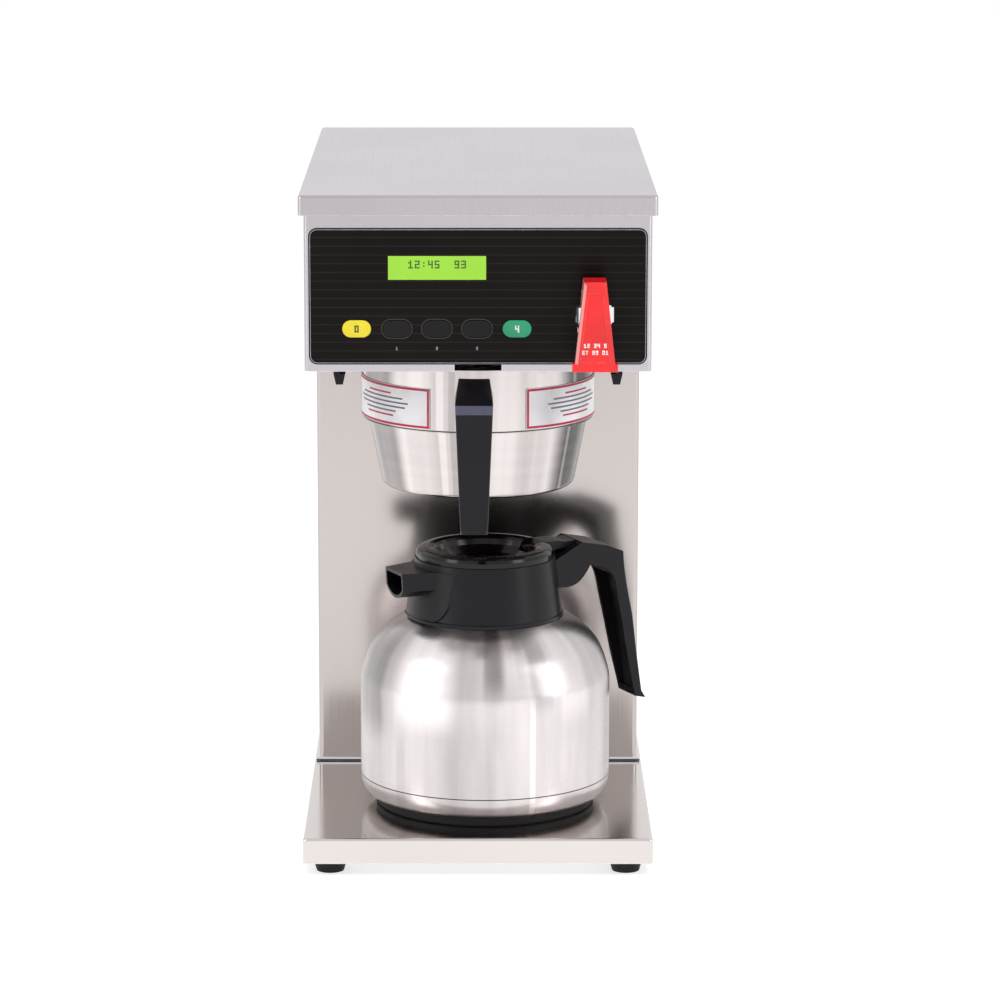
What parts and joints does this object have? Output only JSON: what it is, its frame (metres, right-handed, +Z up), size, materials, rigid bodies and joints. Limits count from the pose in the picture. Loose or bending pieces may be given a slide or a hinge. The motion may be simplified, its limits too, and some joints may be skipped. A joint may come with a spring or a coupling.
{
  "type": "coffee brewer",
  "caption": "Commercial coffee brewer: steel C-shaped housing, control head, pull-out brew basket, red-handled hot water faucet and a vacuum carafe on its base.",
  "frame": {"origin": "on the table under the middle of the whole object's box", "axes": "+Z up, -Y the brewer's front, +X the faucet's side"},
  "size_m": [0.2286, 0.4794, 0.4473],
  "materials": {
    "brushed_panel": "brushed",
    "brushed_cover": "brushed",
    "steel_turned": "turned",
    "steel_plain": "satin",
    "chrome": "polished",
    "brass": "satin",
    "copper": "satin",
    "rubber_black": "matte",
    "plastic_black": "satin",
    "gloss_black": "gloss",
    "overlay": "satin film",
    "yellow": "satin",
    "green": "satin",
    "red": "gloss",
    "lime": "back-lit",
    "board": "lacquered",
    "module": "satin",
    "core": "varnished",
    "white": "gloss"
  },
  "bodies": {
    "housing": {"rubber_feet": "rubber_black", "base_plate": "brushed_panel", "base_pan": "brushed_cover", "left_side_panel": "brushed_panel", "right_side_panel": "brushed_panel", "splash_panel": "brushed_panel", "rear_cover": "brushed_panel", "head_front_panel": "brushed_panel", "head_floor": "brushed_panel", "top_cover": "brushed_cover", "cover_screws": "steel_plain", "control_overlay": "overlay", "display_window": "lime", "display_module": "module", "button_board": "board", "control_board": "board", "transformer": "core", "terminal_block": "plastic_black", "faucet_body": "chrome", "faucet_nut": "brass", "faucet_bonnet": "chrome", "faucet_spring": "steel_plain", "left_rail": "plastic_black", "right_rail": "plastic_black", "tank": "steel_plain", "tank_cradle": "steel_plain", "tank_gasket": "rubber_black", "tank_lid": "steel_plain", "heating_element": "steel_plain", "tank_probes": "steel_plain", "dispense_valve": "brass", "spray_tube": "copper", "faucet_tube": "copper", "spray_head": "steel_plain", "inlet_fitting": "brass", "inlet_valve": "brass", "cord_gland": "plastic_black"},
    "basket": {"brew_basket": "steel_turned", "wire_insert": "steel_plain", "basket_handle": "plastic_black", "grip_screws": "steel_plain", "ring_plates": "white"},
    "carafe": {"carafe_foot": "rubber_black", "carafe_shell": "steel_turned", "carafe_liner": "steel_plain", "carafe_collar": "plastic_black", "carafe_handle": "plastic_black"},
    "lid": {"carafe_lid": "gloss_black", "lid_seal": "rubber_black"},
    "lever": {"thumb_lever": "plastic_black"},
    "valve": {"pour_valve": "plastic_black"},
    "faucet_lever": {"faucet_handle": "red", "faucet_pin": "chrome"},
    "faucet_stem_body": {"faucet_stem": "steel_plain"},
    "power_button_body": {"power_button": "yellow"},
    "half_batch_button_body": {"half_batch_button": "overlay"},
    "full_batch_button_body": {"full_batch_button": "overlay"},
    "select_button_body": {"select_button": "overlay"},
    "brew_button_body": {"brew_button": "green"}
  },
  "joints": [
    {"name": "basket_slide", "type": "slide", "parent": "housing", "child": "basket", "axis": [0, -1, 0], "range_m": [0, 0.21]},
    {"name": "carafe_lift_out", "type": "slide", "parent": "housing", "child": "carafe", "axis": [0, -1, 0], "range_m": [0, 0.24]},
    {"name": "lid_lift", "type": "slide", "parent": "carafe", "child": "lid", "axis": [0, 0, 1], "range_m": [0, 0.027]},
    {"name": "lever_press", "type": "hinge", "parent": "lid", "child": "lever", "pos_m": [0.04276, -0.078, 0.1963], "axis": [-0.4226, 0.9063, 0], "range_deg": [0, 10], "stiffness_Nm_per_rad": 0.5, "springref_deg": -5.73},
    {"name": "valve_lift", "type": "slide", "parent": "lid", "child": "valve", "axis": [0, 0, 1], "range_m": [0, 0.0016]},
    {"name": "faucet_pull", "type": "hinge", "parent": "housing", "child": "faucet_lever", "pos_m": [0.0735, -0.21625, 0.388], "axis": [-1, 0, 0], "range_deg": [0, 60], "stiffness_Nm_per_rad": 0.15, "springref_deg": -5.73},
    {"name": "stem_lift", "type": "slide", "parent": "housing", "child": "faucet_stem_body", "axis": [0, 0, 1], "range_m": [0, 0.003], "deforming": ["faucet_spring"]},
    {"name": "power_press", "type": "slide", "parent": "housing", "child": "power_button_body", "axis": [0, 1, 0], "range_m": [0, 0.0008], "stiffness_N_per_m": 400, "springref_m": -0.0005},
    {"name": "half_batch_press", "type": "slide", "parent": "housing", "child": "half_batch_button_body", "axis": [0, 1, 0], "range_m": [0, 0.0008], "stiffness_N_per_m": 400, "springref_m": -0.0005},
    {"name": "full_batch_press", "type": "slide", "parent": "housing", "child": "full_batch_button_body", "axis": [0, 1, 0], "range_m": [0, 0.0008], "stiffness_N_per_m": 400, "springref_m": -0.0005},
    {"name": "select_press", "type": "slide", "parent": "housing", "child": "select_button_body", "axis": [0, 1, 0], "range_m": [0, 0.0008], "stiffness_N_per_m": 400, "springref_m": -0.0005},
    {"name": "brew_press", "type": "slide", "parent": "housing", "child": "brew_button_body", "axis": [0, 1, 0], "range_m": [0, 0.0008], "stiffness_N_per_m": 400, "springref_m": -0.0005}
  ],
  "couplings": [
    {"joint": "stem_lift", "follows": "faucet_pull", "m_per_rad": 0.0028647},
    {"joint": "valve_lift", "follows": "lever_press", "m_per_rad": 0.009}
  ]
}
